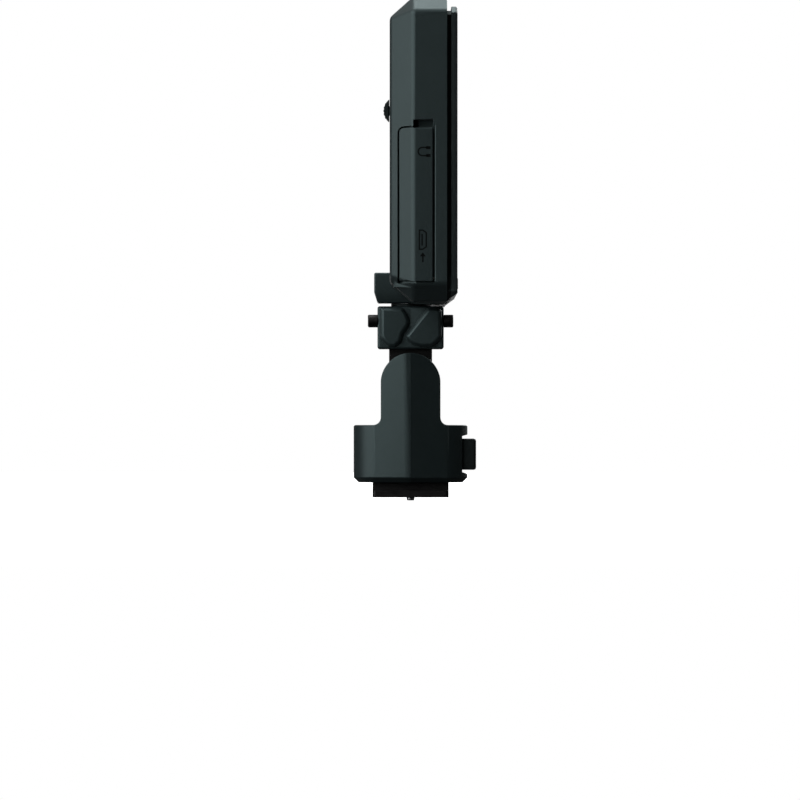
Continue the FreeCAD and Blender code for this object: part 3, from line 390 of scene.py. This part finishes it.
# The finishes, one for each slot of the record and a few for marks
finishes = {
    "case_plastic": moulded_plastic("case_plastic", from_screen(28, 35, 36), roughness=0.42),
    "foot_plastic": moulded_plastic("foot_plastic", from_screen(26, 33, 34), roughness=0.36),
    "block_plastic": moulded_plastic("block_plastic", from_screen(31, 39, 40), roughness=0.42),
    "bezel_plastic": moulded_plastic("bezel_plastic", from_screen(31, 35, 36),
                                     roughness=0.38, grain=0.25 * mm),
    "black_plastic": moulded_plastic("black_plastic", from_screen(10, 11, 11),
                                     roughness=0.5, shine=0.2),
    "key_plastic": moulded_plastic("key_plastic", from_screen(28, 31, 32),
                                   roughness=0.4, grain=0.25 * mm),
    "screen_glass": clear_glass("screen_glass"),
    "display": off_display("display"),
    "steel": brushed_metal("steel", from_screen(190, 192, 194), roughness=0.32, lines=(1, 0.05, 1)),
    "spring_steel": brushed_metal("spring_steel", from_screen(170, 173, 176),
                                  roughness=0.3, lines=(0.05, 1, 1)),
    "black_steel": brushed_metal("black_steel", from_screen(19, 19, 19),
                                 roughness=0.42, lines=(1, 0.2, 1), metallic=0.7),
    "brass": brushed_metal("brass", from_screen(214, 176, 96), roughness=0.3, lines=(1, 0.1, 1)),
    "circuit_board": printed_board("circuit_board", from_screen(18, 66, 44)),
    "chip": moulded_plastic("chip", from_screen(30, 30, 32), roughness=0.55, grain=0.2 * mm),
    "flex_film": moulded_plastic("flex_film", from_screen(164, 96, 32),
                                 roughness=0.3, grain=0.5 * mm, wear_and_highlight=0),
    "battery": moulded_plastic("battery", from_screen(46, 48, 52), roughness=0.5, grain=0.3 * mm),
    "dark_ink": printed_ink("dark_ink", from_screen(4, 6, 6), shine=0.06),
    "pale_ink": printed_ink("pale_ink", from_screen(176, 180, 180), shine=0.25),
    "light_lens": smoked_lens("light_lens"),
}

# The finish that each group of CAD nodes takes
finish_nodes = {
    "case_plastic": ["rear_cover", "terminal_cover", "battery_door", "swivel_boss"],
    "foot_plastic": ["foot_shell_rear", "foot_shell_front"],
    "block_plastic": ["block_shell_front", "block_shell_rear"],
    "bezel_plastic": ["front_bezel"],
    "black_plastic": ["mid_frame", "release_button", "button_slider", "battery_latch", "headphone_jack",
                      "friction_washers", "swivel_washer"],
    "key_plastic": ["key_power", "key_menu", "key_back", "key_minus", "key_plus"],
    "screen_glass": ["screen_glass"],
    "display": ["display_panel"],
    "steel": ["base_plate", "lock_pin", "cross_pin", "tilt_pin", "chassis_plate", "video_socket",
              "swivel_post"],
    "spring_steel": ["button_spring", "latch_spring"],
    "black_steel": ["shoe_plate", "shoe_screws", "foot_screws", "block_bolts", "block_nuts", "tilt_bracket",
                    "case_screws", "boss_screws", "chassis_screws", "board_screws", "cover_pin",
                    "door_pin"],
    "brass": ["board_standoffs", "battery_contacts"],
    "circuit_board": ["main_board", "jack_board", "key_board"],
    "chip": ["board_chips", "key_switches"],
    "flex_film": ["panel_flex"],
    "battery": ["battery_pack"],
}

# Moulded and machined pieces whose edges are rounded, with the width of the rounding
rounded_edges = {
    "rear_cover": 0.35 * mm,
    "terminal_cover": 0.3 * mm,
    "battery_door": 0.22 * mm,
    "battery_latch": 0.25 * mm,
    "swivel_boss": 0.5 * mm,
    "front_bezel": 0.22 * mm,
    "foot_shell_rear": 0.2 * mm,
    "foot_shell_front": 0.2 * mm,
    "block_shell_front": 0.3 * mm,
    "block_shell_rear": 0.3 * mm,
    "block_bolts": 0.25 * mm,
    "release_button": 0.35 * mm,
    "shoe_plate": 0.25 * mm,
    "key_power": 0.25 * mm,
    "key_menu": 0.25 * mm,
    "key_back": 0.25 * mm,
    "key_minus": 0.25 * mm,
    "key_plus": 0.25 * mm,
}


def is_outer_corner(edge, width, tree):
    """True for a sharp ridge that isn't on a seam or on the rim of an opening."""
    if len(edge.link_faces) != 2 or not edge.is_convex:
        return False
    if edge.calc_face_angle() < corner_angle or edge.calc_length() < width:
        return False
    if max(abs(vert.co.y) for vert in edge.verts) < seam_reach:
        return False
    sides = [face.normal for face in edge.link_faces]
    outward = (sides[0] + sides[1]).normalized()
    start = (edge.verts[0].co + edge.verts[1].co) / 2 + outward * probe_lift
    return all(tree.ray_cast(start, heading, probe_reach)[0] is None for heading in sides + [outward])


def smooth_shaded(mesh):
    """Smooth shading that breaks at the sharp edges."""
    if "custom_normal" in mesh.attributes:
        mesh.attributes.remove(mesh.attributes["custom_normal"])
    shape = bmesh.new()
    shape.from_mesh(mesh)
    for edge in shape.edges:
        edge.smooth = edge.calc_face_angle(0) < smooth_angle
    for face in shape.faces:
        face.smooth = True
    shape.to_mesh(mesh)
    shape.free()


def new_piece(name, mesh, finish, body):
    piece = bpy.data.objects.new(name, mesh)
    bpy.context.scene.collection.objects.link(piece)
    mesh.materials.clear()
    mesh.materials.append(finishes[finish])
    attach(piece, body)
    return piece


def carved(piece, cutter_shape):
    """Mesh of a piece with a shape cut out of it."""
    mesh = bpy.data.meshes.new("cutter")
    cutter_shape.to_mesh(mesh)
    cutter_shape.free()
    cutter = bpy.data.objects.new("cutter", mesh)
    bpy.context.scene.collection.objects.link(cutter)
    cut = piece.modifiers.new("cut", "BOOLEAN")
    cut.object = cutter
    bpy.context.view_layer.update()
    result = bpy.data.meshes.new_from_object(piece.evaluated_get(bpy.context.evaluated_depsgraph_get()))
    piece.modifiers.remove(cut)
    bpy.data.objects.remove(cutter)
    return result


def softened(node, width, finish, body):
    """Copy of a CAD node with rounded outer edges, which stands for that node."""
    shape = bmesh.new()
    shape.from_mesh(nodes[node].data)
    bmesh.ops.remove_doubles(shape, verts=shape.verts, dist=weld_distance)
    bmesh.ops.dissolve_limit(shape, angle_limit=flat_angle, verts=shape.verts, edges=shape.edges)
    shape.normal_update()
    tree = BVHTree.FromBMesh(shape)
    corners = [edge for edge in shape.edges if is_outer_corner(edge, width, tree)]
    # Faces of the rounding carry the mask for the paler edge colour, which is wear and painted highlight.
    wear_and_highlight = shape.faces.layers.float.new("edge_wear_and_highlight")
    rounded = bmesh.ops.bevel(shape, geom=corners, offset=width, offset_type="OFFSET",
                              segments=rounding_steps, profile=round_profile, affect="EDGES",
                              clamp_overlap=False)
    for face in rounded["faces"]:
        face[wear_and_highlight] = 1.0
    bmesh.ops.remove_doubles(shape, verts=shape.verts, dist=weld_distance)
    bmesh.ops.dissolve_degenerate(shape, dist=weld_distance, edges=shape.edges)
    mesh = bpy.data.meshes.new(node + "_softened")
    shape.to_mesh(mesh)
    shape.free()
    piece = new_piece(node + "_softened", mesh, finish, body)
    if node in recesses:
        piece.data = carved(piece, recesses[node]())
        piece.data.name = node + "_softened"
    smooth_shaded(piece.data)
    piece.modifiers.new("even_faces", "WEIGHTED_NORMAL").keep_sharp = True
    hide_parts(node)


def rounded_block(low, high, rounding, upright):
    """Block whose edges along one axis are rounded."""
    shape = bmesh.new()
    middle = Matrix.Translation((low + high) / 2)
    bmesh.ops.create_cube(shape, size=1, matrix=middle @ Matrix.Diagonal((*(high - low), 1)))
    edges = [edge for edge in shape.edges
             if abs((edge.verts[1].co - edge.verts[0].co).normalized().dot(upright)) > least_alignment]
    bmesh.ops.bevel(shape, geom=edges, offset=rounding, offset_type="OFFSET", segments=recess_steps,
                    profile=round_profile, affect="EDGES")
    return shape


def door_recess():
    """Finger recess near the top of the battery door."""
    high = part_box("battery_door")[1]
    top = high.z - grip_drop
    return rounded_block(Vector((-grip_length / 2, high.y - grip_depth, top - grip_height)),
                         Vector((grip_length / 2, high.y + grip_depth, top)), grip_rounding, back)


def button_recess():
    """Shallow dish in the face of the release button."""
    low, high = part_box("release_button")
    middle = (low + high) / 2
    half = Vector((dish_size.x / 2, 0, dish_size.y / 2))
    return rounded_block(Vector((middle.x, low.y - dish_depth, middle.z)) - half,
                         Vector((middle.x, low.y + dish_depth, middle.z)) + half, dish_rounding, back)


recesses = {"battery_door": door_recess, "release_button": button_recess}

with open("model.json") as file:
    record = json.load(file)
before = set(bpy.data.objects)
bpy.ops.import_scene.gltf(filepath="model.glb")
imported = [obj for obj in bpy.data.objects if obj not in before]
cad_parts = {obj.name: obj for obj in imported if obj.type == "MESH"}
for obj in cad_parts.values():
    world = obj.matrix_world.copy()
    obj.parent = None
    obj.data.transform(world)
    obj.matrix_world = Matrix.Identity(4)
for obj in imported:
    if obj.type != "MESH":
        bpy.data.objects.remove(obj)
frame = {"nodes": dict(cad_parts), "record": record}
cad_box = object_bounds()
nodes = frame["nodes"]
body_of_node = {node: body for body, members in frame["record"]["behaviour"]["bodies"].items()
                for node in members}

for finish, members in finish_nodes.items():
    for node in members:
        nodes[node].data.materials.clear()
        nodes[node].data.materials.append(finishes[finish])
        if node in rounded_edges:
            softened(node, rounded_edges[node], finish, body_of_node[node])


# Printed marks and raised ribs, drawn in millimetres on a face with its own right and up

def on_face(origin, right, up):
    """Gives the place in the part of a point on a face and its height in metres over it."""
    normal = right.cross(up)

    def place(point, height):
        return origin + (right * point[0] + up * point[1]) * mm + normal * height

    return place


def arc_points(middle, radius, start, end):
    """Points on an arc between two angles in degrees."""
    points = []
    for step in range(arc_steps + 1):
        angle = math.radians(start + (end - start) * step / arc_steps)
        points.append((middle[0] + radius * math.cos(angle), middle[1] + radius * math.sin(angle)))
    return points


def add_stroke(shape, place, points, width, closed=False):
    """Raised strip of one width along a line of points."""
    line = [Vector(point) for point in points]
    count = len(line)
    rows = []
    for index, point in enumerate(line):
        headings = []
        if closed or index > 0:
            headings.append((point - line[index - 1]).normalized())
        if closed or index < count - 1:
            headings.append((line[(index + 1) % count] - point).normalized())
        middle = sum((Vector((-heading.y, heading.x)) for heading in headings), Vector((0, 0)))
        middle /= len(headings)
        reach = middle * (width / 2 / middle.length_squared)
        rows.append([shape.verts.new(place(corner, height)) for corner, height in
                     ((point + reach, print_lift), (point - reach, print_lift),
                      (point - reach, -print_sink), (point + reach, -print_sink))])
    for index in range(count if closed else count - 1):
        first = rows[index]
        second = rows[(index + 1) % count]
        for side in range(4):
            after = (side + 1) % 4
            shape.faces.new((first[side], first[after], second[after], second[side]))
    if not closed:
        shape.faces.new(rows[0])
        shape.faces.new(rows[-1])


def add_patch(shape, place, points):
    """Raised filled outline."""
    upper = [shape.verts.new(place(point, print_lift)) for point in points]
    lower = [shape.verts.new(place(point, -print_sink)) for point in points]
    shape.faces.new(upper)
    shape.faces.new(lower)
    for index in range(len(points)):
        shape.faces.new((upper[index - 1], upper[index], lower[index], lower[index - 1]))


def finished_piece(name, shape, finish, body):
    bmesh.ops.recalc_face_normals(shape, faces=shape.faces)
    mesh = bpy.data.meshes.new(name)
    shape.to_mesh(mesh)
    shape.free()
    smooth_shaded(mesh)
    new_piece(name, mesh, finish, body)


def printed(name, body, finish, place, strokes, patches=()):
    """Mark of strokes, each with its points, width and whether it closes, and of filled patches."""
    shape = bmesh.new()
    for points, width, closed in strokes:
        add_stroke(shape, place, points, width, closed)
    for points in patches:
        add_patch(shape, place, points)
    finished_piece(name, shape, finish, body)


def ribs(name, body, finish, rows, length, width, height):
    """Bars with rounded tops, half sunk, each lying across its row's place and normal along X."""
    shape = bmesh.new()
    for place, normal in rows:
        turn = Matrix((right, normal.cross(right), normal)).transposed().to_4x4()
        size = Matrix.Diagonal((length, width, 2 * height, 1))
        bmesh.ops.create_cube(shape, size=1, matrix=Matrix.Translation(place) @ turn @ size)
    bmesh.ops.bevel(shape, geom=shape.edges[:], offset=min(width, height) * rib_rounding,
                    offset_type="OFFSET", segments=rounding_steps, profile=round_profile, affect="EDGES")
    finished_piece(name, shape, finish, body)


def struck(node, start, heading):
    """Place and normal where a line meets a CAD node."""
    shape = bmesh.new()
    shape.from_mesh(nodes[node].data)
    tree = BVHTree.FromBMesh(shape)
    shape.free()
    place, normal = tree.ray_cast(start, heading)[:2]
    return place, normal


# Symbols over the sockets on the terminal cover, turned to read upwards: points and widths in millimetres
band_width = 0.42
ear_width = 0.85
outline_width = 0.38
contact_width = 0.4
shaft_width = 0.42
headphone_band = [(-1.2, -1.0)] + arc_points((0, 0.55), 1.2, 180, 0) + [(1.2, -1.0)]
left_ear = [(-1.15, -1.9), (-1.15, -0.6)]
right_ear = [(1.15, -1.9), (1.15, -0.6)]
headphone_strokes = [(headphone_band, band_width, False), (left_ear, ear_width, False),
                     (right_ear, ear_width, False)]
port_outline = [(-2.8, 1.0), (2.8, 1.0), (2.8, 0), (2.1, -1.0), (-2.1, -1.0), (-2.8, 0)]
port_contacts = [(-1.7, 0.2), (1.7, 0.2)]
arrow_shaft = [(-6.6, 0), (-4.8, 0)]
port_strokes = [(port_outline, outline_width, True), (port_contacts, contact_width, False),
                (arrow_shaft, shaft_width, False)]
port_patches = [[(-4.9, 0.85), (-4.9, -0.85), (-3.7, 0)]]
headphone_line = -3.9 * mm
port_line = -3.5 * mm
headphone_level = 102.4 * mm
port_level = 76.5 * mm
cover_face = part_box("terminal_cover")[0].x
printed("headphone_symbol", "terminal_cover", "dark_ink",
        on_face(Vector((cover_face, headphone_line, headphone_level)), up, back), headphone_strokes)
printed("port_symbol", "terminal_cover", "dark_ink",
        on_face(Vector((cover_face, port_line, port_level)), up, back), port_strokes, port_patches)

# Symbols on the five keys, and the signal light beside them
key_stroke = 0.26
key_symbols = {
    "key_power": ([arc_points((0, -0.1), 0.85, 125, 415), [(0, 0.3), (0, 1.1)]], []),
    "key_menu": ([[(-0.9, level), (0.9, level)] for level in (0.6, 0, -0.6)], []),
    "key_back": ([[(-0.6, 0.35), (0.35, 0.35)] + arc_points((0.35, -0.2), 0.55, 80, -90) + [(-0.5, -0.75)]],
                 [[(-1.15, 0.35), (-0.55, -0.1), (-0.55, 0.8)]]),
    "key_minus": ([[(-0.8, 0), (0.8, 0)]], []),
    "key_plus": ([[(-0.8, 0), (0.8, 0)], [(0, -0.8), (0, 0.8)]], []),
}
for key, (lines, patches) in key_symbols.items():
    low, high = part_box(key)
    face = on_face(Vector(((low.x + high.x) / 2, low.y, (low.z + high.z) / 2)), right, up)
    printed(key + "_symbol", body_of_node[key], "pale_ink", face,
            [(points, key_stroke, False) for points in lines], patches)

light_radius = 0.7 * mm
light_flatness = 0.4
light_steps = 24
light_offset = 7.5 * mm
low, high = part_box("key_power")
dome = bmesh.new()
dome_place = Vector((low.x - light_offset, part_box("front_bezel")[0].y, (low.z + high.z) / 2))
flattened = Matrix.Diagonal((1, light_flatness, 1, 1))
bmesh.ops.create_uvsphere(dome, u_segments=light_steps, v_segments=light_steps // 2, radius=light_radius,
                          matrix=Matrix.Translation(dome_place) @ flattened)
finished_piece("signal_light", dome, "light_lens", "monitor")

# Black border at the back of the glass, round a 5-inch picture that is bonded to it
picture_size = Vector((110.4 * mm, 62.1 * mm))
bond_depth = 0.05 * mm
low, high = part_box("screen_glass")
glass_middle = Vector(((low.x + high.x) / 2, high.y - bond_depth, (low.z + high.z) / 2))
border = bmesh.new()
loops = []
for half_width, half_height in (((high.x - low.x) / 2, (high.z - low.z) / 2), picture_size / 2):
    loops.append([border.verts.new(glass_middle + Vector((hand * half_width, 0, rise * half_height)))
                  for hand, rise in ((-1, -1), (1, -1), (1, 1), (-1, 1))])
for index in range(4):
    border.faces.new((loops[0][index - 1], loops[0][index], loops[1][index], loops[1][index - 1]))
picture = bmesh.new()
picture.faces.new([picture.verts.new(corner.co) for corner in loops[1]])
finished_piece("screen_picture", picture, "display", "monitor")
finished_piece("screen_border", border, "dark_ink", "monitor")

# Grip ribs on the latch, the door and the release button, each with its length, width and height
latch_rib = (7.5 * mm, 0.4 * mm, 0.14 * mm)
door_rib = (15 * mm, 0.5 * mm, 0.4 * mm)
button_rib = (7.8 * mm, 0.55 * mm, 0.28 * mm)
latch_shares = (0.2, 0.35, 0.5, 0.65, 0.8)
door_levels = (-2.2, -1.1, 0, 1.1, 2.2)
button_levels = (-2.4, -1.2, 0, 1.2, 2.4)
strike_distance = 0.1
low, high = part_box("battery_latch")
latch_rows = [struck("battery_latch",
                     Vector((0, high.y + strike_distance, low.z + (high.z - low.z) * share)), -back)
              for share in latch_shares]
ribs("latch_ribs", "battery_latch", "black_plastic", latch_rows, *latch_rib)
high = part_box("battery_door")[1]
grip_floor = Vector((0, high.y - grip_depth, high.z - grip_drop - grip_height / 2))
door_rows = [(grip_floor + up * level * mm, back) for level in door_levels]
ribs("door_ribs", "battery_door", "case_plastic", door_rows, *door_rib)
low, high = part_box("release_button")
dish_floor = Vector(((low.x + high.x) / 2, low.y + dish_depth, (low.z + high.z) / 2))
button_rows = [(dish_floor + up * level * mm, -back) for level in button_levels]
ribs("button_ribs", "release_button", "black_plastic", button_rows, *button_rib)

# Arrow over the latch
arrow_rise = 6.5 * mm
latch_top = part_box("battery_latch")[1].z
case_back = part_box("battery_door")[1].y
printed("latch_arrow", "monitor", "dark_ink",
        on_face(Vector((0, case_back, latch_top + arrow_rise)), -right, up),
        [], [[(-1.3, -1.0), (1.3, -1.0), (0, 1.1)]])


# Stage: floor, surround, lamps, cards and camera

def white_to_the_camera(tree):
    """1 for rays from the camera and for those that mirror or pass through something."""
    path = add(tree, "ShaderNodeLightPath", {})
    seen = sums(tree, "MAXIMUM", path.outputs["Is Camera Ray"], path.outputs["Is Glossy Ray"])
    return sums(tree, "MAXIMUM", seen, path.outputs["Is Transmission Ray"])


def make_surround():
    world = bpy.data.worlds.new("surround")
    bpy.context.scene.world = world
    world.use_nodes = True
    tree = world.node_tree
    background = tree.nodes["Background"]
    background.inputs["Color"].default_value = (1, 1, 1, 1)
    strength = spread(tree, white_to_the_camera(tree), surround_light, 1.0, 0, 1)
    tree.links.new(strength, background.inputs["Strength"])


def make_floor():
    half = floor_size / 2
    z = cad_box[0].z - floor_gap
    mesh = bpy.data.meshes.new("floor")
    mesh.from_pydata([(-half, -half, z), (half, -half, z), (half, half, z), (-half, half, z)], [],
                     [(0, 1, 2, 3)])
    material, tree, shader = new_finish("floor")
    shader.inputs["Base Color"].default_value = (floor_grey, floor_grey, floor_grey, 1)
    shader.inputs["Roughness"].default_value = floor_roughness
    shader.inputs["Specular IOR Level"].default_value = 0.0
    shader.inputs["Emission Color"].default_value = (1, 1, 1, 1)
    tree.links.new(sums(tree, "MULTIPLY", white_to_the_camera(tree), floor_glow),
                   shader.inputs["Emission Strength"])
    mesh.materials.append(material)
    floor = bpy.data.objects.new("floor", mesh)
    bpy.context.scene.collection.objects.link(floor)


def aim(target, place, goal):
    target.location = place
    target.rotation_mode = "QUATERNION"
    target.rotation_quaternion = (goal - place).to_track_quat("-Z", "Y")


def make_lamps():
    goal = (cad_box[0] + cad_box[1]) / 2
    for name, (place, width, height, power) in lamps.items():
        data = bpy.data.lights.new(name, "AREA")
        data.shape = "RECTANGLE"
        data.size = width
        data.size_y = height
        data.energy = power
        lamp = bpy.data.objects.new(name, data)
        bpy.context.scene.collection.objects.link(lamp)
        lamp.visible_camera = False
        aim(lamp, place, goal)


def make_dark_cards():
    for name, (grey, corners) in dark_cards.items():
        material, _, shader = new_finish(name)
        shader.inputs["Base Color"].default_value = (grey, grey, grey, 1)
        shader.inputs["Roughness"].default_value = 1.0
        shader.inputs["Specular IOR Level"].default_value = 0.0
        mesh = bpy.data.meshes.new(name)
        mesh.from_pydata(corners, [], [(0, 1, 2, 3)])
        mesh.materials.append(material)
        card = bpy.data.objects.new(name, mesh)
        bpy.context.scene.collection.objects.link(card)
        card.visible_camera = False
        card.visible_shadow = False


def make_camera():
    data = bpy.data.cameras.new("camera")
    data.sensor_width = sensor_width
    data.lens = sensor_width * camera_distance / picture_width
    data.clip_end = view_depth
    camera = bpy.data.objects.new("camera", data)
    bpy.context.scene.collection.objects.link(camera)
    aim(camera, picture_centre - Vector((camera_distance, 0, 0)), picture_centre)
    bpy.context.scene.camera = camera


make_surround()
make_floor()
make_lamps()
make_dark_cards()
make_camera()
bpy.context.scene.view_settings.view_transform = "Standard"
